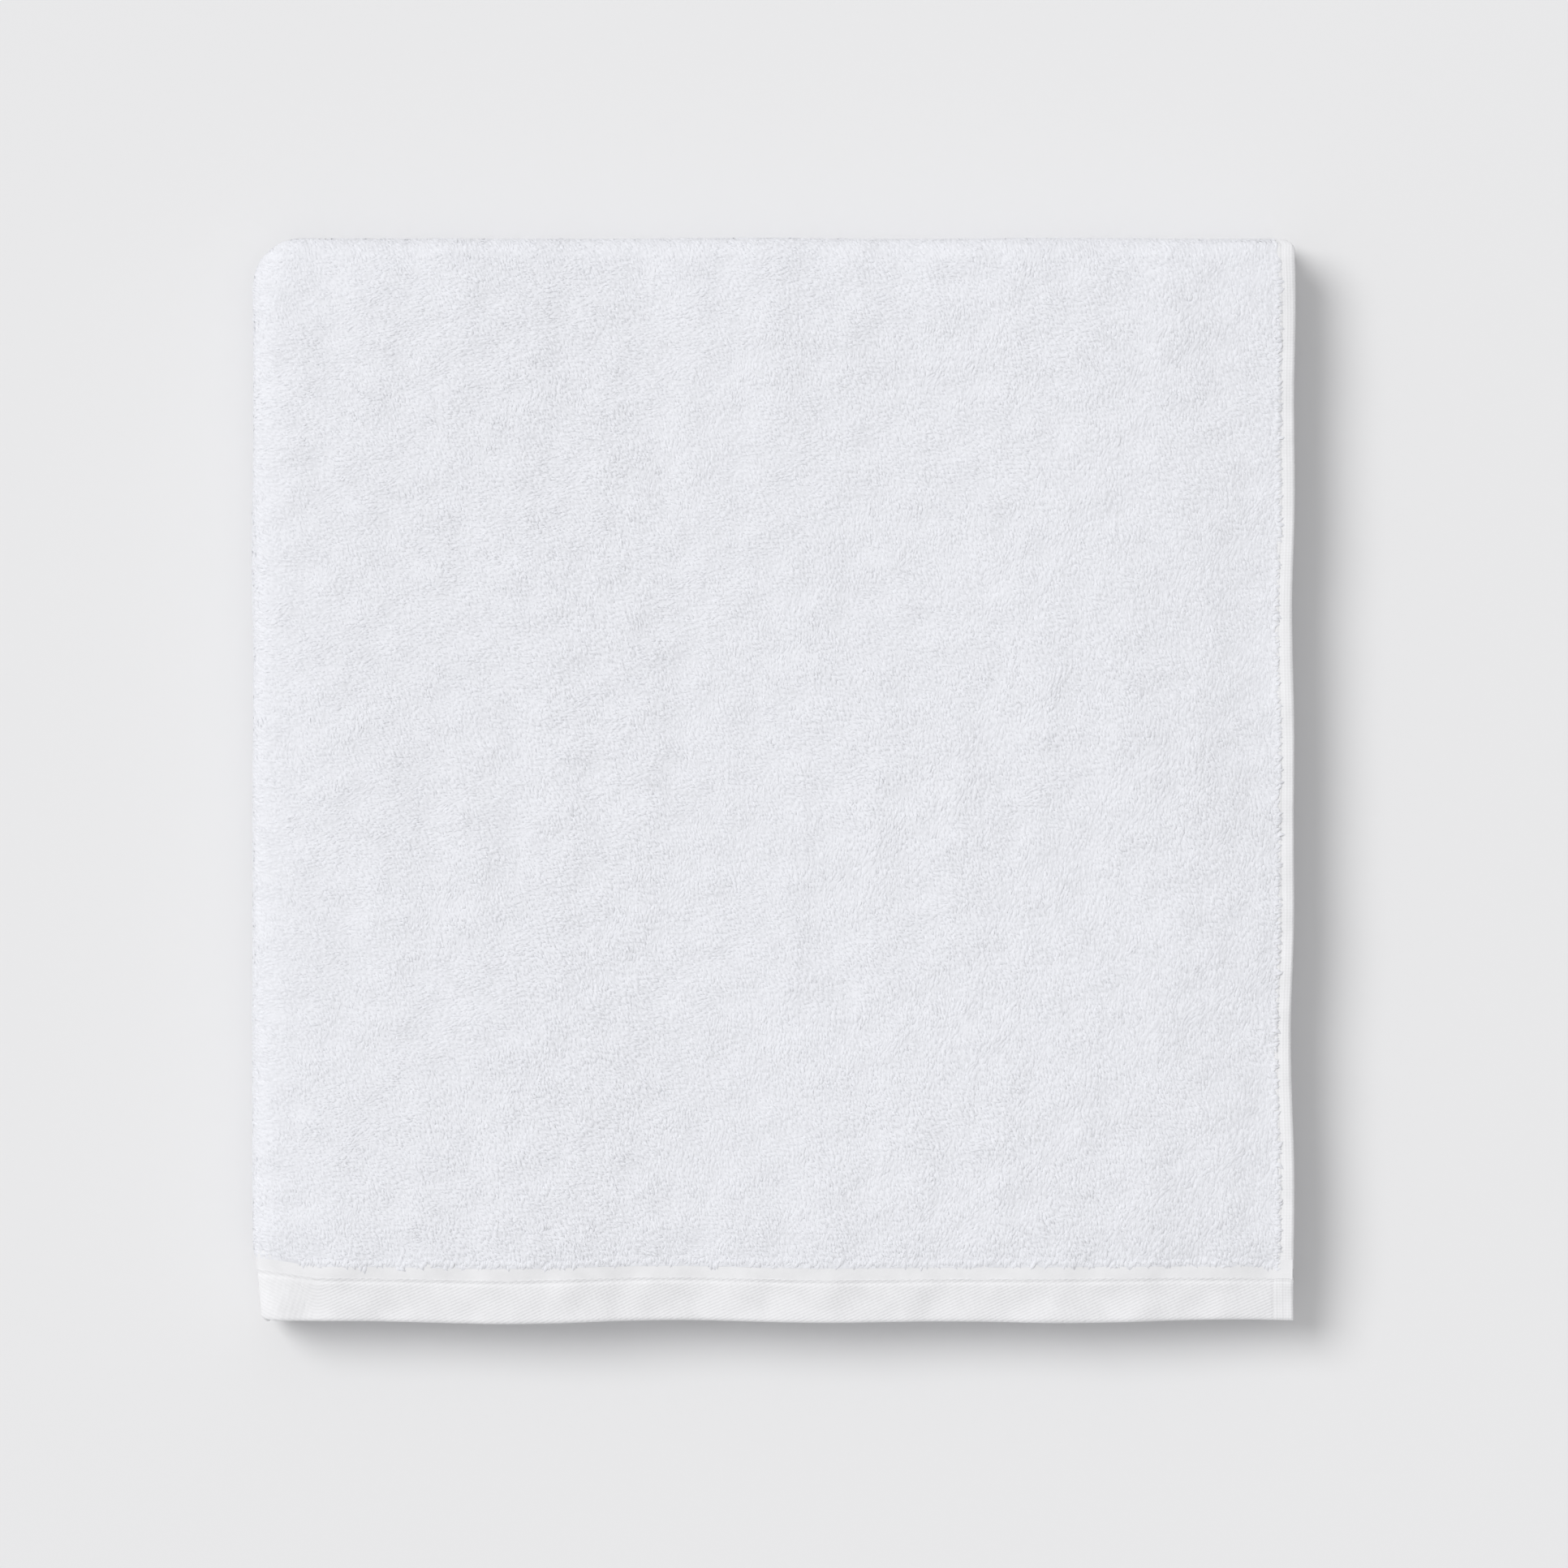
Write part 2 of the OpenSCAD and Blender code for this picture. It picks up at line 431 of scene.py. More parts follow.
def yarn_loop(rng, settings):
    """One loop of soft yarn lying in the pile. The side of the yarn that shows is spun into
    a low arch that dives into the cloth at both ends."""
    yarn = settings.yarn_d * rng.uniform(0.85, 1.15)
    arch = (settings.loop_l * rng.uniform(0.8, 1.15) - yarn) / 2
    bm = bmesh.new()
    bmesh.ops.create_circle(bm, cap_ends=False, segments=3, radius=yarn / 2)
    bm.verts.ensure_lookup_table()
    top = bm.verts[0]
    to_outside = Matrix.Rotation(math.pi - math.atan2(top.co.y, top.co.x), 3, "Z")
    bmesh.ops.rotate(bm, verts=bm.verts, cent=(0, 0, 0), matrix=to_outside)
    hidden = [e for e in bm.edges if top not in e.verts]
    bmesh.ops.delete(bm, geom=hidden, context="EDGES_FACES")
    bmesh.ops.translate(bm, verts=bm.verts, vec=(-arch, 0, 0))
    bmesh.ops.spin(
        bm, geom=bm.verts[:] + bm.edges[:], cent=(0, 0, 0), axis=(0, 1, 0), dvec=(0, 0, 0),
        angle=math.pi, steps=3, use_merge=False, use_duplicate=False,
    )
    bmesh.ops.scale(bm, verts=bm.verts, vec=(1, 1, settings.loop_rise / (arch + yarn / 2)))
    bmesh.ops.rotate(
        bm, verts=bm.verts, cent=(0, 0, 0),
        matrix=Matrix.Rotation(rng.uniform(-0.35, 0.35), 3, "X"),
    )
    curl = rng.uniform(-1, 1) * 0.3 * yarn
    for vert in bm.verts:
        vert.co.y += curl * (8 * (vert.co.x / settings.loop_l) ** 2 - 1)
    if sum(f.normal.z for f in bm.faces) < 0:
        bmesh.ops.reverse_faces(bm, faces=bm.faces[:])
    bm.verts.index_update()
    places = np.array([v.co for v in bm.verts])
    corners = np.array([[v.index for v in f.verts] for f in bm.faces])
    bm.free()
    return places, corners


def lay_many(shapes, choice, turned, size, spots, lifts, across_scale):
    """Copies of small shapes in flat places: turned, sized and set down on their spots."""
    flats, faces, owners, count = [], [], [], 0
    for index, (places, corners) in enumerate(shapes):
        mine = np.nonzero(choice == index)[0]
        if not len(mine):
            continue
        cos, sin = np.cos(turned[mine])[:, None], np.sin(turned[mine])[:, None]
        a, b, c = (places[None, :, i] * size[mine][:, None] for i in range(3))
        across = spots[mine, 0][:, None] + (cos * a - sin * b) * across_scale
        run = spots[mine, 1][:, None] + sin * a + cos * b
        lift = lifts[mine][:, None] + c
        flats.append(np.stack([across.ravel(), run.ravel(), lift.ravel()], axis=1))
        starts = count + np.arange(len(mine)) * len(places)
        faces.append((corners[None] + starts[:, None, None]).reshape(-1, corners.shape[1]))
        owners.append(np.repeat(mine, len(corners)))
        count += len(mine) * len(places)
    return np.concatenate(flats), np.concatenate(faces), np.concatenate(owners)


def mesh_of_quads(name, places, quads, shades):
    """A mesh from laid copies, with a material index for every face."""
    mesh = bpy.data.meshes.new(name)
    mesh.vertices.add(len(places))
    mesh.vertices.foreach_set("co", places.astype(np.float32).ravel())
    sides = quads.shape[1]
    mesh.loops.add(quads.size)
    mesh.loops.foreach_set("vertex_index", quads.astype(np.int32).ravel())
    mesh.polygons.add(len(quads))
    mesh.polygons.foreach_set("loop_start", np.arange(0, quads.size, sides, dtype=np.int32))
    mesh.polygons.foreach_set("material_index", shades.astype(np.int32))
    mesh.update(calc_edges=True)
    return mesh


# Angles that the loops lean by, over broad fields, over small patches and one by one.
LEAN_BROAD, LEAN_LOCAL, LEAN_STRAY = 0.22, 0.25, 0.22

# A loop's height and the scatter of it, in lifts off the cloth.
LOOP_H_STRAY, FRINGE_H_STRAY = 0.03 * MM, 0.06 * MM

# How far the last loops hang over a hem, and how unevenly.
END_HANG, END_CLUMP, END_STRAY = 2.4 * MM, 0.5 * MM, 0.6 * MM
SIDE_STRAY, SPOT_STRAY = 0.7 * MM, 0.2 * MM

LEAN_FIELD = Ripples(21, 55 * MM, dimensions=2)
LEAN_PATCH = Ripples(22, 13 * MM, dimensions=2)
SIZE_FIELD = Ripples(23, 38 * MM, dimensions=2)
TUFT_FIELD = Ripples(24, 7 * MM, dimensions=2)


def scatter_spots(rng, across, run, spacing):
    """Jittered spots in staggered rows over a rectangle of flat cloth, in metres."""
    columns = max(1, round((across[1] - across[0]) / spacing[0]))
    rows = max(1, round((run[1] - run[0]) / spacing[1]))
    i, j = np.meshgrid(np.arange(columns), np.arange(rows), indexing="ij")
    i, j = i.ravel(), j.ravel()
    x = across[0] + (i + 0.25 + 0.5 * (j % 2)) * (across[1] - across[0]) / columns
    y = run[0] + (j + 0.5) * (run[1] - run[0]) / rows
    x = x + rng.uniform(-0.45, 0.45, len(x)) * spacing[0]
    y = y + rng.uniform(-0.45, 0.45, len(y)) * spacing[1]
    return np.stack([x, y], axis=1)


def pile(name, part, across, run, seed, settings, materials, turn_r=1.0):
    """A patch of loop pile over a rectangle of flat cloth. On the last fold, across is in
    angles and turn_r is the hinge radius of the pile."""
    rng = np.random.default_rng(seed)
    shapes = [yarn_loop(rng, settings) for _ in range(16)]
    scale = 1 / turn_r
    metres = (across[0] / scale, across[1] / scale)
    spots = scatter_spots(rng, metres, run, (settings.loop_gap_across, settings.loop_gap_along))
    field_spots = spots + [HALF_W, 0] if part == "fold" else spots
    # Loops lie from upper left to lower right by the last fold's back corner, and
    # stand up and down the towel, larger and plumper, by its hemmed front corner.
    from_fold = 1 - field_spots[:, 0] / HALF_W
    from_back = 1 - field_spots[:, 1] / along("outer_ply", 1)
    toward_hems = rise(0.7 * from_fold + 0.3 * from_back, 0, 1)
    lean = LEAN_BROAD * LEAN_FIELD(field_spots) + LEAN_LOCAL * LEAN_PATCH(field_spots)
    turned = settings.loop_angle_fold * (1 - toward_hems) + settings.loop_angle_hem * toward_hems
    turned = math.pi - turned + lean + rng.normal(0, LEAN_STRAY, len(spots))
    size = 0.86 + 0.26 * toward_hems + 0.06 * SIZE_FIELD(field_spots)
    size = np.clip(size + rng.normal(0, 0.07, len(spots)), 0.65, 1.4)
    lifts = PLY_T / 2 - 0.95 * size * settings.loop_rise
    lifts = lifts + LOOP_H_STRAY * TUFT_FIELD(field_spots)
    lifts = lifts + rng.normal(0, LOOP_H_STRAY, len(spots))
    choice = rng.integers(len(shapes), size=len(spots))
    spots[:, 0] *= scale
    flat, quads, owners = lay_many(shapes, choice, turned, size, spots, lifts, scale)
    placed = settle(fold_up(part, flat[:, 0], flat[:, 1], flat[:, 2], turn_r))
    if part != "lower":
        quads = quads[:, ::-1]
    shades = rng.integers(len(materials), size=len(spots))[owners]
    return add_piece(name, mesh_of_quads(name, placed, quads, shades), materials)


def fringe(name, part, edge, seed, settings, material):
    """The last loops before a hem, which stand up and hang over it. edge gives their mean
    distance in from the side, or None, and the stretch of the run they follow."""
    rng = np.random.default_rng(seed)
    shapes = [yarn_loop(rng, settings) for _ in range(16)]
    inward, start, end = edge
    if inward is None:
        across = np.arange(SIDE_HEM_W, HALF_W - ROOM, 0.42 * settings.loop_gap_across)
        clumps = END_CLUMP * TUFT_FIELD(np.stack([across, across], axis=1))
        overhang = clumps + END_STRAY * np.abs(rng.normal(0, 1, len(across)))
        spots = np.stack([across, start + END_HANG - overhang], axis=1)
        turned = math.pi / 2 + rng.normal(0, 0.4, len(spots))
    else:
        run = np.arange(start, end, 0.6 * settings.loop_gap_along)
        spread = SIDE_STRAY * np.abs(rng.normal(0, 1, len(run)))
        spots = np.stack([inward + spread, run], axis=1)
        turned = rng.normal(0, 0.5, len(spots))
    spots = spots + rng.normal(0, SPOT_STRAY, spots.shape)
    size = rng.uniform(0.75, 1.3, len(spots))
    lifts = PLY_T / 2 - 0.8 * settings.loop_rise + rng.normal(0, FRINGE_H_STRAY, len(spots))
    choice = rng.integers(len(shapes), size=len(spots))
    flat, quads, _ = lay_many(shapes, choice, turned, size, spots, lifts, 1.0)
    placed = settle(fold_up(part, flat[:, 0], flat[:, 1], flat[:, 2]))
    if part != "lower":
        quads = quads[:, ::-1]
    return add_piece(name, mesh_of_quads(name, placed, quads, np.zeros(len(quads))), [material])


# ---- Materials ----


def add_node(tree, kind, settings=None, links=None):
    """Adds a node, sets its attributes and inputs, and links its inputs to (node, output)."""
    node = tree.nodes.new(kind)
    for key, value in (settings or {}).items():
        if isinstance(key, int) or key in node.inputs:
            node.inputs[key].default_value = value
        else:
            setattr(node, key, value)
    for key, (source, output) in (links or {}).items():
        tree.links.new(source.outputs[output], node.inputs[key])
    return node


def cloth_material(name, colour, roughness, sheen):
    """A cotton surface with its sheen, and the tree to build its pattern in."""
    material = bpy.data.materials.new(name)
    material.use_nodes = True
    tree = material.node_tree
    shader = tree.nodes["Principled BSDF"]
    shader.inputs["Base Color"].default_value = colour
    shader.inputs["Roughness"].default_value = roughness
    shader.inputs["IOR"].default_value = 1.5
    shader.inputs["Specular IOR Level"].default_value = 0.25
    shader.inputs["Sheen Weight"].default_value = sheen
    shader.inputs["Sheen Roughness"].default_value = 0.6
    return material, tree, shader


def colour_drift(tree, shader, light, dark, scale_mm, source):
    """Lets a cloth's white drift slowly between two shades."""
    noise = add_node(
        tree, "ShaderNodeTexNoise",
        {"Scale": 1000 / scale_mm, "Detail": 3.0, "Roughness": 0.55}, {"Vector": source},
    )
    ramp = add_node(tree, "ShaderNodeValToRGB", links={"Fac": (noise, "Fac")})
    ramp.color_ramp.elements[0].position = 0.35
    ramp.color_ramp.elements[0].color = dark
    ramp.color_ramp.elements[1].position = 0.65
    ramp.color_ramp.elements[1].color = light
    tree.links.new(ramp.outputs["Color"], shader.inputs["Base Color"])
    return noise


YARN_SHADES = (1.0, 0.985, 0.965)


def yarn_materials(settings):
    """Loose twisted cotton yarn of the loops. Three near whites give the pile its fleck."""
    shades = []
    for index, dim in enumerate(YARN_SHADES):
        colour = tuple(c * dim for c in settings.pile_colour) + (1,)
        material, _, _ = cloth_material(f"cotton loop yarn {index + 1}", colour, 0.95, 0.25)
        shades.append(material)
    return shades


def ground_material(settings):
    """Flat ground weave under the loops: a fine uneven grain in the gaps of the pile."""
    light = tuple(settings.pile_colour) + (1,)
    dark = tuple(c * 0.94 for c in settings.pile_colour) + (1,)
    material, tree, shader = cloth_material("cotton ground weave", light, 0.95, 0.2)
    place = add_node(tree, "ShaderNodeTexCoord")
    colour_drift(tree, shader, light, dark, 9, (place, "Object"))
    # Loop bases stand about 1.5 mm apart.
    lumps = add_node(
        tree, "ShaderNodeTexVoronoi", {"Scale": 1000 / 1.6, "feature": "SMOOTH_F1"},
        {"Vector": (place, "Object")},
    )
    bump = add_node(
        tree, "ShaderNodeBump", {"Strength": 0.7, "Distance": 0.5 * MM, "invert": True},
        {"Height": (lumps, "Distance")},
    )
    tree.links.new(bump.outputs["Normal"], shader.inputs["Normal"])
    return material


def wave_pattern(tree, source, spacing_mm, angle, distortion=0.0):
    """Fine parallel ribs across the cloth, at an angle to its width."""
    turn_to = add_node(
        tree, "ShaderNodeMapping", {"Rotation": (0, 0, angle)}, {"Vector": source}
    )
    # A band wave repeats every 2 pi / 20 of its scaled input.
    return add_node(
        tree, "ShaderNodeTexWave",
        {"Scale": 1000 / spacing_mm * math.pi / 10, "Distortion": distortion,
         "Detail": 1.0, "Detail Scale": 2.0, "bands_direction": "X"},
        {"Vector": (turn_to, "Vector")},
    )


def flat_weave_material(name, settings, ribs, depth_mm, dashes=None):
    """Cotton woven without loops. ribs holds (spacing in mm, angle, distortion) for each
    set of threads that shows, and dashes the same for the gaps that break ribs up."""
    light = tuple(settings.hem_colour) + (1,)
    dark = tuple(c * 0.965 for c in settings.hem_colour) + (1,)
    material, tree, shader = cloth_material(name, light, 0.85, 0.15)
    place = add_node(tree, "ShaderNodeUVMap", {"uv_map": "cloth_grain"})
    source = (place, "UV")
    colour_drift(tree, shader, light, dark, 5, source)
    fuzz = add_node(
        tree, "ShaderNodeTexNoise", {"Scale": 1000 / 0.8, "Detail": 3.0}, {"Vector": source}
    )
    height = (fuzz, "Fac")
    for spacing, angle, distortion in ribs:
        wave = wave_pattern(tree, source, spacing, angle, distortion)
        share = add_node(
            tree, "ShaderNodeMath", {"operation": "MULTIPLY", 1: 0.6}, {0: (wave, "Fac")}
        )
        both = add_node(
            tree, "ShaderNodeMath", {"operation": "ADD"}, {0: height, 1: (share, "Value")}
        )
        height = (both, "Value")
    if dashes:
        wave = wave_pattern(tree, source, *dashes)
        both = add_node(
            tree, "ShaderNodeMath", {"operation": "MULTIPLY_ADD", 1: 0.35},
            {0: (wave, "Fac"), 2: height},
        )
        height = (both, "Value")
    bump = add_node(
        tree, "ShaderNodeBump", {"Strength": 1.0, "Distance": depth_mm * MM},
        {"Height": height},
    )
    tree.links.new(bump.outputs["Normal"], shader.inputs["Normal"])
    return material


def thread_material(settings):
    """Three ply polyester sewing thread, a little glossier than the cotton round it."""
    colour = tuple(settings.thread_colour) + (1,)
    material, tree, shader = cloth_material("twisted sewing thread", colour, 0.55, 0.1)
    place = add_node(tree, "ShaderNodeTexCoord")
    twist = wave_pattern(tree, (place, "Object"), 0.5, math.radians(40), 0.5)
    bump = add_node(
        tree, "ShaderNodeBump", {"Strength": 0.5, "Distance": 0.08 * MM},
        {"Height": (twist, "Fac")},
    )
    tree.links.new(bump.outputs["Normal"], shader.inputs["Normal"])
    return material


def floor_material(settings):
    """Matt pale studio board."""
    colour = tuple(settings.floor_colour) + (1,)
    material, _, shader = cloth_material("matt studio board", colour, 0.9, 0.0)
    shader.inputs["Specular IOR Level"].default_value = 0.1
    return material


# ---- Settings ----


def colour_property(name, description, colour_hex):
    return FloatVectorProperty(
        name=name, description=description, subtype="COLOR", size=3, min=0, max=1,
        default=linear(colour_hex)[:3],
    )


def length_property(name, description, millimetres):
    return FloatProperty(
        name=name, description=description, unit="LENGTH", default=millimetres * MM, min=0,
    )


class TowelPileSettings(bpy.types.PropertyGroup):
    """The loops of yarn that stand on both faces of the cloth."""

    yarn_d: length_property("Yarn", "Thickness of a loop's soft yarn", 1.25)
    loop_l: length_property("Loop", "Length of a fallen loop, seen from above", 2.9)
    loop_rise: length_property("Rise", "Height of a loop over the place where it dives in", 0.5)
    loop_gap_across: length_property("Gap across", "Spacing of the loops across the towel", 1.05)
    loop_gap_along: length_property("Gap along", "Spacing of the loops along the towel", 1.5)
    loop_angle_fold: FloatProperty(
        name="Lie by the fold", description="Way the loops point by the last fold",
        subtype="ANGLE", default=math.radians(-24),
    )
    loop_angle_hem: FloatProperty(
        name="Lie by the hems", description="Way the loops point by the hemmed corner",
        subtype="ANGLE", default=math.radians(-84),
    )
    seed: IntProperty(
        name="Seed", description="Number that fixes the scatter of the loops", default=4,
    )
    pile_colour: colour_property("Pile colour", "White of the loop yarn", "#EAEBF0")


class TowelSewnSettings(bpy.types.PropertyGroup):
    """The flat woven hems and the seams that hold them."""

    hem_t: length_property("Hem thickness", "Thickness of the turned hems", 2.9)
    header_t: length_property("Header thickness", "Thickness of the single flat strip", 1.3)
    twill_gap: length_property("Twill gap", "Spacing of the end hem's diagonal ribs", 1.5)
    canvas_gap: length_property("Canvas gap", "Spacing of the side hem's threads", 1.0)
    stitch_l: length_property("Stitch", "Length of one stitch", 2.8)
    thread_d: length_property("Thread", "Thickness of the sewing thread", 0.5)
    hem_colour: colour_property("Hem colour", "White of the flat weave", "#EEEEF0")
    thread_colour: colour_property("Thread colour", "White of the sewing thread", "#F0F0F1")


class TowelStageSettings(bpy.types.PropertyGroup):
    """The pale floor, the soft light and the camera straight above."""

    floor_colour: colour_property("Floor colour", "Pale grey of the floor", "#E9E9EA")
    key_strength: FloatProperty(
        name="Key", description="Strength of the soft key light", default=1.78,
    )
    fill_strength: FloatProperty(
        name="Fill", description="Strength of the room's light", default=0.56,
    )
    camera_height: FloatProperty(
        name="Camera height", description="Height of the camera over the floor",
        unit="LENGTH", default=3.0,
    )


def settings_of(context):
    scene = context.scene
    return scene.towel_pile, scene.towel_sewn, scene.towel_stage


# ---- Operators: one for each piece or group of like pieces ----

GROUND_T = 2.84 * MM
TERRY_IN = 0.4 * MM
TERRY_START = along("outer_ply", 0) + TERRY_IN
TERRY_END = along("third_ply", 1) - TERRY_IN

# Grid steps: on the top ply, in the turns, and where the cloth is out of sight.
TOP_STEP, TURN_STEP, LOWER_STEP, HIDDEN_STEP = 3 * MM, 0.8 * MM, 8 * MM, 16 * MM

# Stretches of the cloth that goes round the last fold: name, start and end along the run,
# and the smallest hinge radius in it.
FOLD_BANDS = [
    ("outer_ply", TERRY_START, along("outer_ply", 1), 3.5 * PITCH),
    ("corner_top", along("outer_ply", 1), along("outer_quarter_turn", 1 / 3), 2.75 * PITCH),
    ("corner_back", along("outer_quarter_turn", 1 / 3),
     along("outer_quarter_turn", 2 / 3), 1.25 * PITCH),
    ("facing_ply", along("outer_quarter_turn", 2 / 3), along("middle_turn", 0.5), 0.5 * PITCH),
    ("second_ply", along("middle_turn", 0.5), along("inner_quarter_turn", 0.5), PITCH),
    ("third_ply", along("inner_quarter_turn", 0.5), TERRY_END, 2 * PITCH),
]


def lumpy(depth):
    """Raises a slab into uneven lumps, as under a pile."""
    lumps = Ripples(41, 5 * MM, dimensions=2)

    def shape(flat):
        flat[:, 2] += np.sign(flat[:, 2]) * depth * lumps(flat[:, :2])
        return flat

    return shape


class TOWEL_OT_ground(bpy.types.Operator):
    """Weave the ground cloth of the two halves and the last fold"""

    bl_idname = "towel.ground"
    bl_label = "Ground cloth"

    def execute(self, context):
        pile_settings, _, _ = settings_of(context)
        weave = ground_material(pile_settings)
        # The top ply is fine enough to follow every dimple that its loops follow.
        top_end = along("outer_ply", 1)
        run = np.unique(np.concatenate([
            run_steps(TERRY_START, top_end, TOP_STEP, TURN_STEP),
            run_steps(top_end, TERRY_END, HIDDEN_STEP, TURN_STEP),
        ]))
        for part, body, size in (("upper", UPPER, TOP_STEP), ("lower", LOWER, LOWER_STEP)):
            across = steps(SIDE_HEM_W - MM, HALF_W - ROOM, size)
            bm = flat_cloth(across, run, GROUND_T)
            fold_cloth(bm, part, lumpy(0.04 * MM))
            piece = add_piece(f"terry_ground_{part}", bm, [weave])
            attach(piece, body)
            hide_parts(f"terry_{part}_half")
        for name, start, end, radius in FOLD_BANDS:
            run = run_steps(start, end, TOP_STEP, TURN_STEP)
            bm = flat_cloth(arc_steps(24, radius), run, GROUND_T)
            fold_cloth(bm, "fold", turn_r=radius)
            piece = add_piece(f"terry_ground_fold_{name}", bm, [weave])
            fix(piece, "fold")
        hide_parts("terry_last_fold")
        name, start, end, radius = FOLD_BANDS[0]
        return {"FINISHED"}


# Where the patches of loops start and stop: short of the end hem, over the side hem, and
# short of the last fold's axis. The fringes fill in along the hems.
PILE_END_IN = 2.6 * MM
PILE_OVER_HEM = 1.2 * MM
FRINGE_OVER_HEM = 1.6 * MM
PILE_ROOM = 1.7 * MM
FOLD_PILE_OUT = 1.3 * MM


class TOWEL_OT_pile(bpy.types.Operator):
    """Stand the loop pile on every face and fold that shows"""

    bl_idname = "towel.pile"
    bl_label = "Loop pile"

    def execute(self, context):
        settings, _, _ = settings_of(context)
        yarns = yarn_materials(settings)
        top_start = along("outer_ply", 0) + PILE_END_IN
        top_end = along("outer_ply", 1)
        side = SIDE_HEM_W - PILE_OVER_HEM
        strips = 8
        far_side = HALF_W - PILE_ROOM
        edges = np.linspace(side, far_side, strips + 1)
        for index in range(strips):
            piece = pile(
                f"terry_pile_top_{index + 1}", "upper", edges[index:index + 2],
                (top_start, top_end), settings.seed + index, settings, yarns,
            )
            fix(piece, "upper")
        side = SIDE_HEM_W - FRINGE_OVER_HEM
        outer = SPAN["outer_ply"]
        fringes = [
            ("side", "upper", (side, *outer)),
            ("side_inside", "lower", (side, *SPAN["facing_ply"])),
            ("end", "upper", (None, *outer)),
        ]
        for index, (name, part, edge) in enumerate(fringes):
            piece = fringe(
                f"terry_fringe_{name}", part, edge, settings.seed + 50 + index, settings, yarns[0],
            )
            fix(piece, part)
        turns = [
            ("quarter_fold", along("outer_quarter_turn", 0), along("outer_quarter_turn", 0.95)),
            ("middle_fold", along("facing_ply", 0.99), along("second_ply", 0.01)),
        ]
        for index, (name, start, end) in enumerate(turns):
            for part in ("upper", "lower"):
                piece = pile(
                    f"terry_pile_{name}_{part}", part, (side, far_side), (start, end),
                    settings.seed + 20 + 2 * index + (part == "lower"), settings, yarns,
                )
                fix(piece, part)
        for index, (name, start, end, radius) in enumerate(FOLD_BANDS[:3]):
            outer_r = radius + PLY_T / 2
            if name == "outer_ply":
                start = top_start - FOLD_PILE_OUT
            lap = LAP / outer_r
            piece = pile(
                f"terry_pile_fold_{name}", "fold", (-lap, math.pi + lap), (start, end),
                settings.seed + 30 + index, settings, yarns, turn_r=outer_r,
            )
            fix(piece, "fold")
        return {"FINISHED"}


# A face stands this far over the ground cloth, with bumps of these heights and this scatter.
FACE_H, BUMP_H, BROAD_BUMP_H, FACE_STRAY = 0.22 * MM, 0.17 * MM, 0.08 * MM, 0.06 * MM
PILE_BUMPS = [Ripples(51, 2.4 * MM, dimensions=2), Ripples(52, 4.5 * MM, dimensions=2)]
FACE_RIM_H = 0.4 * MM
FACE_STEP, UNDERSIDE_STEP = 1.7 * MM, 2.1 * MM


class TOWEL_OT_faces(bpy.types.Operator):
    """Raise the pile of the faces that show when the last fold opens, and of the underside"""

    bl_idname = "towel.faces"
    bl_label = "Inner and under faces"

    def execute(self, context):
        settings, _, _ = settings_of(context)
        weave = ground_material(settings)
        faces = [
            ("upper_inside", "upper", "facing_ply", FACE_STEP),
            ("lower_inside", "lower", "facing_ply", FACE_STEP),
            ("underside", "lower", "outer_ply", UNDERSIDE_STEP),
            ("fold_inside", "fold", "facing_ply", FACE_STEP),
        ]
        rng = np.random.default_rng(settings.seed + 60)
        for name, part, stretch, size in faces:
            start, end = SPAN[stretch]
            if part == "fold":
                across = arc_steps(8, 0.5 * PITCH)
            else:
                across = steps(SIDE_HEM_W - 3 * MM, HALF_W - ROOM, size)
            bm = flat_cloth(across, steps(start, end, size), 0)
            places = np.array([v.co for v in bm.verts])
            jitter = rng.normal(0, 0.14 * size, (len(places), 2))
            lift = GROUND_T / 2 + FACE_H
            lift = lift + BUMP_H * PILE_BUMPS[0](places[:, :2])
            lift = lift + BROAD_BUMP_H * PILE_BUMPS[1](places[:, :2])
            lift = lift + rng.normal(0, FACE_STRAY, len(places))
            for vert, (a, b), height in zip(bm.verts, jitter, lift):
                rim = any(edge.is_boundary for edge in vert.link_edges)
                spread = 0.0 if rim or part == "fold" else 1.0
                if part == "fold":
                    height = GROUND_T / 2 + FACE_H
                elif rim and vert.co.x < HALF_W - 2 * ROOM:
                    height = FACE_RIM_H
                vert.co += Vector((a * spread, b * spread, height))
            fold_cloth(bm, part, turn_r=0.5 * PITCH)
            outside_up = (part == "lower") == (stretch == "facing_ply")
            bm.faces.ensure_lookup_table()
            if (bm.faces[len(bm.faces) // 2].normal.z > 0) != outside_up:
                bmesh.ops.reverse_faces(bm, faces=bm.faces[:])
            piece = add_piece(f"terry_face_{name}", bm, [weave])
            fix(piece, part)
        return {"FINISHED"}


def groove(places, at, width):
    """A soft press into the cloth at one place: 1 at its middle, 0 away from it."""
    return np.exp(-((places - at) / width) ** 2)


PUCKER = Ripples(61, 9 * MM, dimensions=2)
PUCKER_H = 0.04 * MM

# Depth and width of the presses into an end hem: at its seam, at the edge of the side hem
# turned in with it, and the ridge over that hem's own seam.
SEAM_PRESS, SEAM_PRESS_W = 0.36 * MM, 0.7 * MM
TURN_PRESS, TURN_PRESS_W = 0.26 * MM, 0.4 * MM
RIDGE_H, RIDGE_W = 0.14 * MM, 0.5 * MM


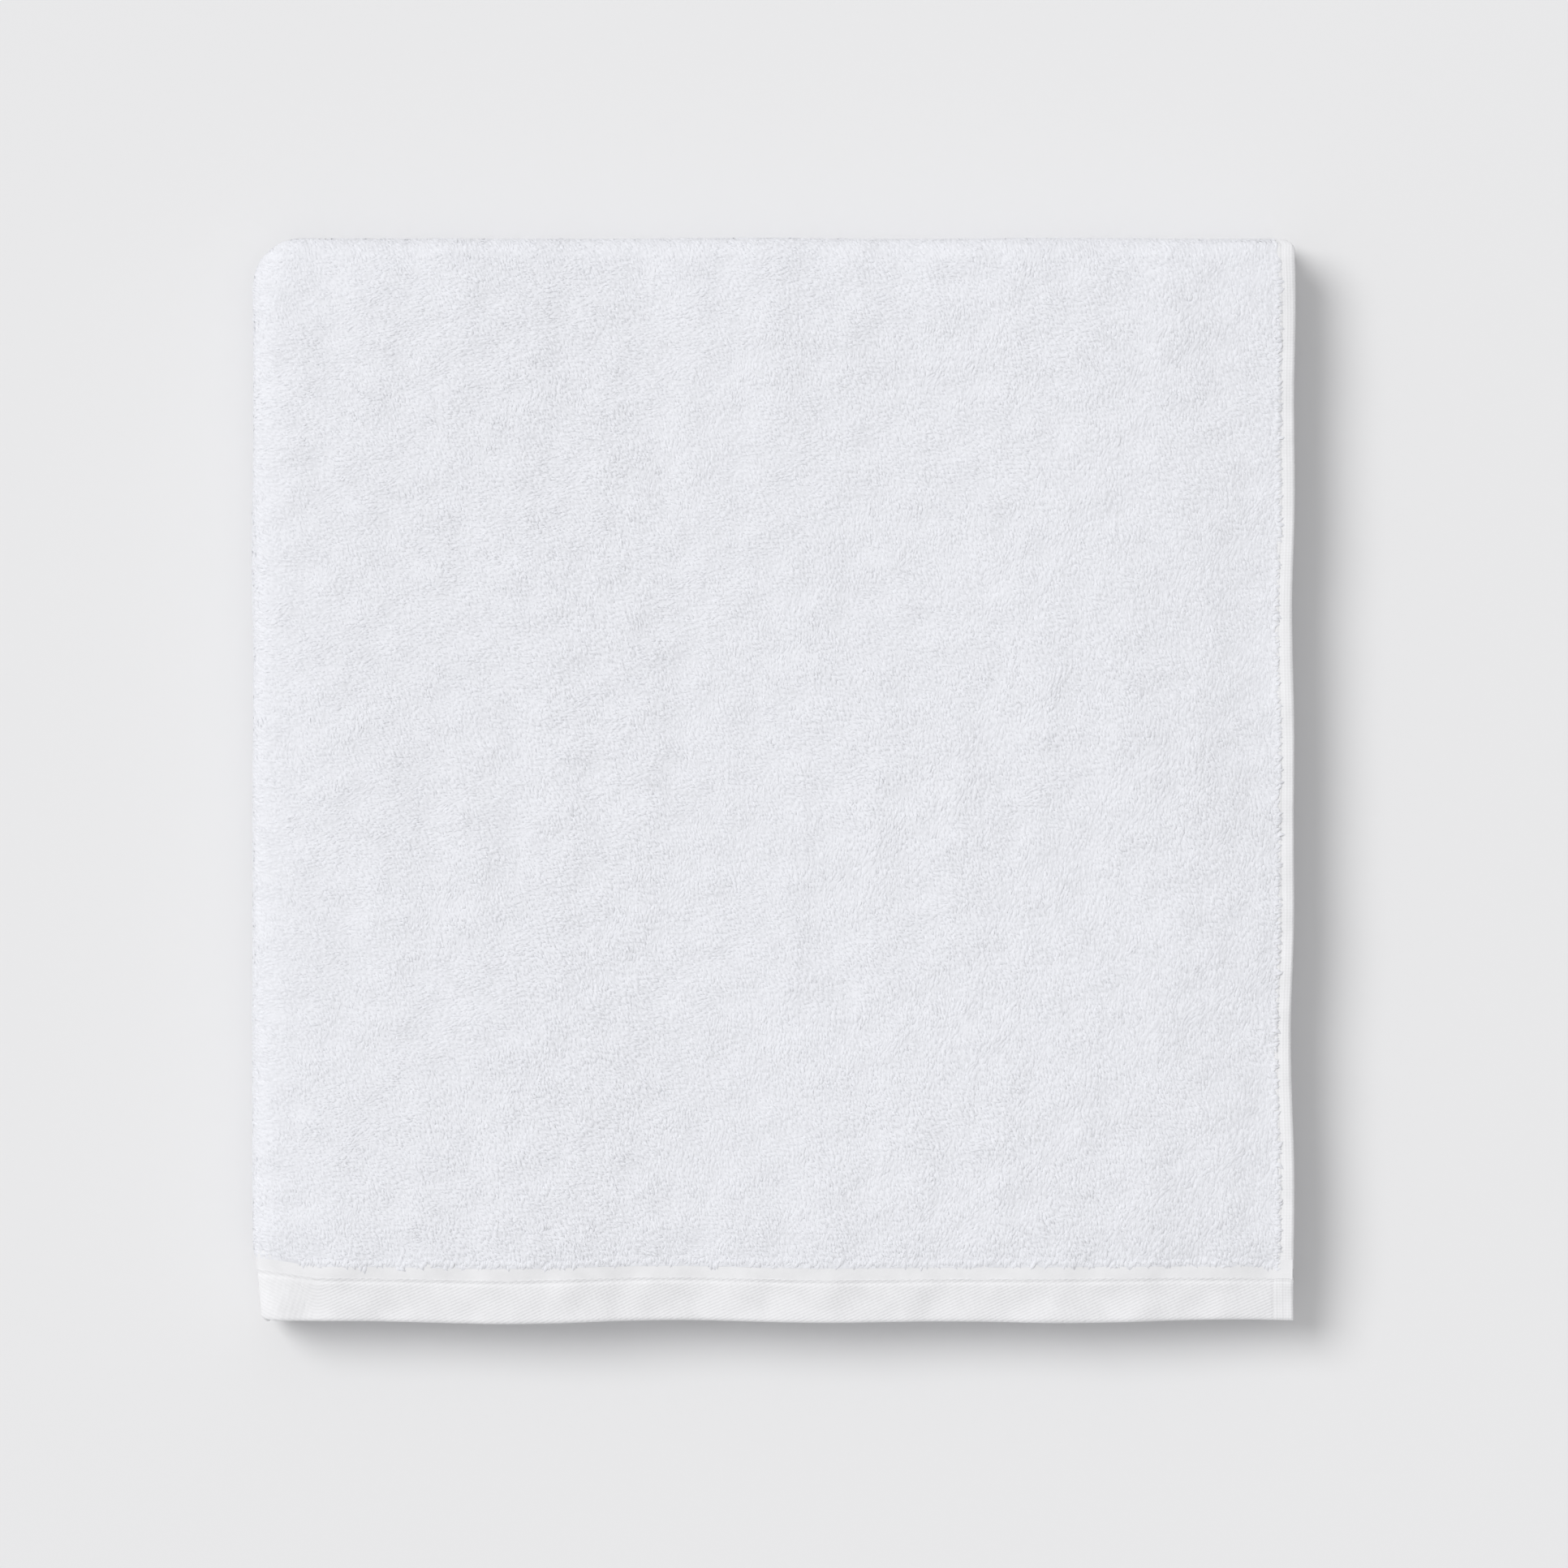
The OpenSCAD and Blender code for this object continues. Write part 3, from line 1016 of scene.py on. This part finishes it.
def end_band_shape(band, part, rim):
    """Presses the seam into an end hem, lets the hem pucker along it, shows the side hem
    that is turned in with it, and rounds its edges over."""
    edge = SPAN[band][0] if band == "outer_band" else SPAN[band][1]

    def shape(flat):
        side = np.sign(flat[:, 2])
        inward = np.abs(flat[:, 1] - edge)
        seam = groove(inward, END_SEAM_V, SEAM_PRESS_W)
        depth = SEAM_PRESS * seam
        if part != "fold":
            depth = depth + TURN_PRESS * groove(flat[:, 0], SIDE_HEM_W, TURN_PRESS_W)
            depth = depth - RIDGE_H * groove(flat[:, 0], SIDE_SEAM_IN, RIDGE_W)
        flat[:, 2] -= side * depth
        flat[:, 2] += side * PUCKER_H * PUCKER(flat[:, :2]) * (1 - seam)
        round_rim(flat, inward, rim)
        if part != "fold":
            round_rim(flat, flat[:, 0], rim)
        return flat

    return shape


def canvas_material(name, settings):
    """Plain weave with its threads square to the cloth."""
    gap = settings.canvas_gap / MM
    return flat_weave_material(name, settings, [(gap, 0.0, 0.4), (gap, math.pi / 2, 0.4)], 0.07)


# The end hem runs a little past its seam, and the header from under the hem to under the
# pile, a little in from the side and raised to the hem's upper face.
HEM_PAST_SEAM = 1.2 * MM
HEADER_LAP, HEADER_PAST_BAND = 0.5 * MM, 3 * MM
HEADER_IN, HEADER_RISE = 0.3 * MM, 0.7 * MM

# Grid steps of a hem: along its seam, over the rest of its depth, and along its length.
SEAM_STEP, HEM_STEP, HEM_LENGTH_STEP = 0.35 * MM, 0.8 * MM, 1.7 * MM
STRIP_PAST_HEM = 1.05 * MM
SEAM_ZONE = 1.8 * MM


class TOWEL_OT_end_hems(bpy.types.Operator):
    """Turn the flat woven ends under into hems, round the last fold too"""

    bl_idname = "towel.end_hems"
    bl_label = "End hems"

    def execute(self, context):
        _, settings, _ = settings_of(context)
        gap = settings.twill_gap / MM
        weaves = [
            flat_weave_material(
                "cotton twill end hem", settings, [(0.7 * gap, math.radians(-66), 0.8)], 0.1,
                dashes=(1.2 * gap, math.radians(20), 1.5),
            ),
            flat_weave_material("plain header strip", settings, [], 0.06),
            canvas_material("side hem turned into the end hem", settings),
        ]
        for band, hem in (("outer_band", "outer"), ("inner_band", "inner")):
            low, high = SPAN[band]
            outer = band == "outer_band"
            hem_end = low if outer else high
            way = 1 if outer else -1
            hem_start = hem_end + way * (END_SEAM_V + HEM_PAST_SEAM)
            header_end = hem_end + way * (END_BAND + HEADER_PAST_BAND)
            radius = (3.5 if outer else 2.5) * PITCH
            rim = 0.5 * settings.hem_t
            across_rim, run_rim = rim_steps(rim), rim_steps(rim)
            for part in ("upper", "fold", "lower"):
                if part == "fold":
                    across = arc_steps(48, radius)
                else:
                    strip = steps(rim + SEAM_STEP, SIDE_HEM_W + STRIP_PAST_HEM, SEAM_STEP)
                    hem_across = steps(strip[-1] + MM, HALF_W - ROOM, HEM_LENGTH_STEP)
                    across = np.concatenate([across_rim, strip, hem_across])
                run = np.concatenate([
                    run_rim,
                    steps(rim + HEM_STEP, END_SEAM_V - SEAM_ZONE - 0.3 * MM, HEM_STEP),
                    steps(END_SEAM_V - SEAM_ZONE, END_SEAM_V + HEM_PAST_SEAM, SEAM_STEP),
                ])
                run = np.sort(hem_end + way * run)
                bm = flat_cloth(across, run, settings.hem_t)
                if part != "fold":
                    for face in bm.faces:
                        in_strip = face.calc_center_median().x < SIDE_HEM_W
                        face.material_index = 2 if in_strip else 0
                fold_cloth(bm, part, end_band_shape(band, part, rim), radius)
                header_ends = sorted((hem_start - way * HEADER_LAP, header_end))
                header_across = across if part == "fold" else across[across > HEADER_IN]
                header = flat_cloth(
                    header_across, steps(*header_ends, SEAM_STEP), settings.header_t
                )
                bmesh.ops.translate(header, verts=header.verts, vec=(0, 0, HEADER_RISE))
                for face in header.faces:
                    face.material_index = 1
                fold_cloth(header, part, turn_r=radius)
                strip_mesh = bpy.data.meshes.new("header_strip")
                header.to_mesh(strip_mesh)
                header.free()
                bm.from_mesh(strip_mesh)
                bpy.data.meshes.remove(strip_mesh)
                piece = add_piece(f"{hem}_end_hem_cloth_{part}", bm, weaves)
                fix(piece, part)
                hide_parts(f"{hem}_end_hem_{part}")
        return {"FINISHED"}


# A side hem is a little thinner than an end hem, and runs just into both end bands.
SIDE_HEM_THINNER = 0.3 * MM
SIDE_PRESS, SIDE_PRESS_W = 0.25 * MM, 0.5 * MM
SIDE_HEM_START = along("outer_band", 0.98)
SIDE_HEM_END = along("inner_band", 0.02)


class TOWEL_OT_side_hems(bpy.types.Operator):
    """Turn the selvages under into narrow side hems that follow every ply"""

    bl_idname = "towel.side_hems"
    bl_label = "Side hems"

    def execute(self, context):
        _, settings, _ = settings_of(context)
        canvas = canvas_material("cotton canvas side hem", settings)
        thickness = settings.hem_t - SIDE_HEM_THINNER
        rim = 0.5 * thickness

        def shape(flat):
            press = SIDE_PRESS * groove(flat[:, 0], SIDE_SEAM_IN, SIDE_PRESS_W)
            flat[:, 2] -= np.sign(flat[:, 2]) * press
            round_rim(flat, flat[:, 0], rim)
            return flat

        for part, body in (("upper", UPPER), ("lower", LOWER)):
            run = run_steps(SIDE_HEM_START, SIDE_HEM_END, 2 * MM, 0.7 * MM)
            across = np.append(rim_steps(rim), steps(rim + 0.5 * MM, SIDE_HEM_W, 0.5 * MM))
            bm = flat_cloth(across, run, thickness)
            fold_cloth(bm, part, shape)
            piece = add_piece(f"side_hem_cloth_{part}", bm, [canvas])
            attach(piece, body)
            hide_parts(f"side_hem_{part}")
        return {"FINISHED"}


def stitch_shape(settings):
    """One stitch: a short thread that dips into the cloth at both ends."""
    bm = bmesh.new()
    ring = bmesh.ops.create_circle(bm, cap_ends=False, segments=5, radius=settings.thread_d / 2)
    bmesh.ops.translate(bm, verts=ring["verts"], vec=(-settings.stitch_l * 0.47, 0, 0))
    bmesh.ops.spin(
        bm, geom=bm.verts[:] + bm.edges[:], cent=(0, 0, 0), axis=(0, 1, 0), dvec=(0, 0, 0),
        angle=math.pi, steps=5, use_merge=False, use_duplicate=False,
    )
    bmesh.ops.holes_fill(bm, edges=bm.edges[:], sides=5)
    bmesh.ops.recalc_face_normals(bm, faces=bm.faces[:])
    caps = [f for f in bm.faces if len(f.verts) == 5]
    bmesh.ops.delete(bm, geom=caps, context="FACES_ONLY")
    bmesh.ops.scale(bm, verts=bm.verts, vec=(1, 1, 0.42))
    bm.verts.index_update()
    places = np.array([v.co for v in bm.verts])
    corners = np.array([[v.index for v in f.verts] for f in bm.faces])
    bm.free()
    return places, corners


def seam(name, part, spots, turned, lift, settings, material, scale=1.0):
    """A row of stitches on both faces of the cloth."""
    shape = stitch_shape(settings)
    placed, quads, count = [], [], 0
    for face in (1, -1):
        places, corners = shape
        places = places * [1, 1, face]
        flat, faces, _ = lay_many(
            [(places, corners)], np.zeros(len(spots), int), np.full(len(spots), turned),
            np.ones(len(spots)), spots, np.full(len(spots), face * lift), scale,
        )
        placed.append(settle(fold_up(part, flat[:, 0], flat[:, 1], flat[:, 2])))
        flip = (face == 1) != (part == "lower")
        quads.append((faces[:, ::-1] if flip else faces) + count)
        count += len(flat)
    quads = np.concatenate(quads)
    mesh = mesh_of_quads(name, np.concatenate(placed), quads, np.zeros(len(quads)))
    return add_piece(name, mesh, [material])


# Stitches lie this far under a hem's face, where its seam presses it in.
END_STITCH_SINK, SIDE_STITCH_SINK = 0.95 * MM, 1.05 * MM


class TOWEL_OT_seams(bpy.types.Operator):
    """Sew the end hems and the side hems"""

    bl_idname = "towel.seams"
    bl_label = "Seams"

    def execute(self, context):
        _, settings, _ = settings_of(context)
        thread = thread_material(settings)
        pitch = settings.stitch_l * 1.08
        lift = settings.hem_t / 2 - END_STITCH_SINK
        side_lift = settings.hem_t / 2 - SIDE_STITCH_SINK
        for band, hem in (("outer_band", "outer"), ("inner_band", "inner")):
            low, high = SPAN[band]
            place = low + END_SEAM_V if band == "outer_band" else high - END_SEAM_V
            radius = (3.5 if band == "outer_band" else 2.5) * PITCH
            for part in ("upper", "fold", "lower"):
                length = math.pi * radius if part == "fold" else HALF_W - ROOM - pitch / 2
                spots = np.arange(pitch / 2, length, pitch)
                scale = 1 / radius if part == "fold" else 1.0
                spots = np.stack([spots * scale, np.full(len(spots), place)], axis=1)
                name = f"{hem}_end_seam_stitches_{part}"
                piece = seam(name, part, spots, 0.0, lift, settings, thread, scale)
                fix(piece, part)
                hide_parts(f"{hem}_end_seam_{part}")
        for part in ("upper", "lower"):
            run = np.arange(along("outer_ply", 0) + pitch / 2, along("third_ply", 1), pitch)
            spots = np.stack([np.full(len(run), SIDE_SEAM_IN), run], axis=1)
            name = f"side_seam_stitches_{part}"
            piece = seam(name, part, spots, math.pi / 2, side_lift, settings, thread)
            fix(piece, part)
            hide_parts(f"side_seam_{part}")
        return {"FINISHED"}


class TOWEL_OT_label(bpy.types.Operator):
    """Lay the blank care label in its gap between two plies"""

    bl_idname = "towel.label"
    bl_label = "Care label"

    def execute(self, context):
        _, settings, _ = settings_of(context)
        low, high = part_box("care_label")
        ribbon = flat_weave_material("woven ribbon", settings, [(0.6, 0.0, 0.0)], 0.04)
        bm = flat_cloth(steps(low.x, high.x, 2 * MM), steps(low.y, high.y, 2 * MM), high.z - low.z)
        keep_flat_places(bm, "lower", 1.0)
        places = np.array([v.co for v in bm.verts])
        places[:, 2] += (low.z + high.z) / 2
        for vert, place in zip(bm.verts, settle(places)):
            vert.co = place
        bmesh.ops.recalc_face_normals(bm, faces=bm.faces[:])
        piece = add_piece("care_label_ribbon", bm, [ribbon])
        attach(piece, LOWER)
        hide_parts("care_label")
        return {"FINISHED"}


# The stack fills this share of the view's width, and stands off its centre by these shares.
STACK_SHARE = 0.6637
OFF_CENTRE = (-0.0075, 0.0026)
SENSOR_W = 36.0


# Half the floor's side, and where the soft key light stands.
FLOOR_HALF = 12
KEY_HEIGHT, KEY_WAY, KEY_ANGLE = math.radians(50), math.radians(148), math.radians(32)

# The room's light at its walls and overhead, as shares of the fill.
WALL_SHARE, OVERHEAD_SHARE = 0.5, 1.25


class TOWEL_OT_stage(bpy.types.Operator):
    """Set the pale floor, the soft light and the camera straight above"""

    bl_idname = "towel.stage"
    bl_label = "Stage"

    def execute(self, context):
        _, _, settings = settings_of(context)
        scene = context.scene
        bm = bmesh.new()
        bmesh.ops.create_grid(bm, x_segments=4, y_segments=4, size=FLOOR_HALF)
        floor = add_piece("studio_floor", bm, [floor_material(settings)])
        key = bpy.data.lights.new("soft_key", "SUN")
        key.energy = settings.key_strength
        key.angle = KEY_ANGLE
        key_lamp = bpy.data.objects.new("soft_key", key)
        scene.collection.objects.link(key_lamp)
        toward = Vector((
            math.cos(KEY_HEIGHT) * math.cos(KEY_WAY), math.cos(KEY_HEIGHT) * math.sin(KEY_WAY),
            math.sin(KEY_HEIGHT),
        ))
        key_lamp.rotation_euler = toward.to_track_quat("Z", "Y").to_euler()
        world = bpy.data.worlds.new("studio_room")
        scene.world = world
        world.use_nodes = True
        # The room is brighter overhead than at its walls.
        tree = world.node_tree
        place = add_node(tree, "ShaderNodeTexCoord")
        way_in = add_node(tree, "ShaderNodeSeparateXYZ", links={"Vector": (place, "Generated")})
        fall = add_node(
            tree, "ShaderNodeMapRange",
            {"To Min": WALL_SHARE * settings.fill_strength,
             "To Max": OVERHEAD_SHARE * settings.fill_strength},
            {"Value": (way_in, "Z")},
        )
        room = tree.nodes["Background"]
        room.inputs["Color"].default_value = (1.0, 1.0, 1.0, 1)
        tree.links.new(fall.outputs["Result"], room.inputs["Strength"])
        view_w = (RIGHT_X - LEFT_X) / STACK_SHARE
        camera = bpy.data.cameras.new("camera_above")
        camera.sensor_width = SENSOR_W
        camera.lens = SENSOR_W * (settings.camera_height - 0.7 * STACK_HIGH.z) / view_w
        camera.clip_end = 100
        eye = bpy.data.objects.new("camera_above", camera)
        scene.collection.objects.link(eye)
        eye.location = (
            -OFF_CENTRE[0] * view_w, -OFF_CENTRE[1] * view_w, settings.camera_height
        )
        scene.camera = eye
        scene.view_settings.view_transform = "Standard"
        return {"FINISHED"}


class TOWEL_PT_panel(bpy.types.Panel):
    """Lists the towel's pieces in the order they are made"""

    bl_idname = "TOWEL_PT_panel"
    bl_label = "Folded terry towel"
    bl_space_type = "VIEW_3D"
    bl_region_type = "UI"
    bl_category = "Towel"

    def draw(self, context):
        for group in settings_of(context):
            box = self.layout.box()
            for key in group.bl_rna.properties.keys():
                if key not in ("rna_type", "name"):
                    box.prop(group, key)
        for operator in PIECES:
            self.layout.operator(operator.bl_idname)


PIECES = (
    TOWEL_OT_ground, TOWEL_OT_pile, TOWEL_OT_faces, TOWEL_OT_end_hems, TOWEL_OT_side_hems,
    TOWEL_OT_seams, TOWEL_OT_label, TOWEL_OT_stage,
)
GROUPS = {
    "towel_pile": TowelPileSettings,
    "towel_sewn": TowelSewnSettings,
    "towel_stage": TowelStageSettings,
}
CLASSES = (*GROUPS.values(), *PIECES, TOWEL_PT_panel)


def register():
    for cls in CLASSES:
        bpy.utils.register_class(cls)
    for name, group in GROUPS.items():
        setattr(bpy.types.Scene, name, PointerProperty(type=group))


def unregister():
    for name in GROUPS:
        delattr(bpy.types.Scene, name)
    for cls in reversed(CLASSES):
        bpy.utils.unregister_class(cls)


def main():
    register()
    for operator in PIECES:
        family, name = operator.bl_idname.split(".")
        getattr(getattr(bpy.ops, family), name)()


if __name__ == "__main__":
    main()
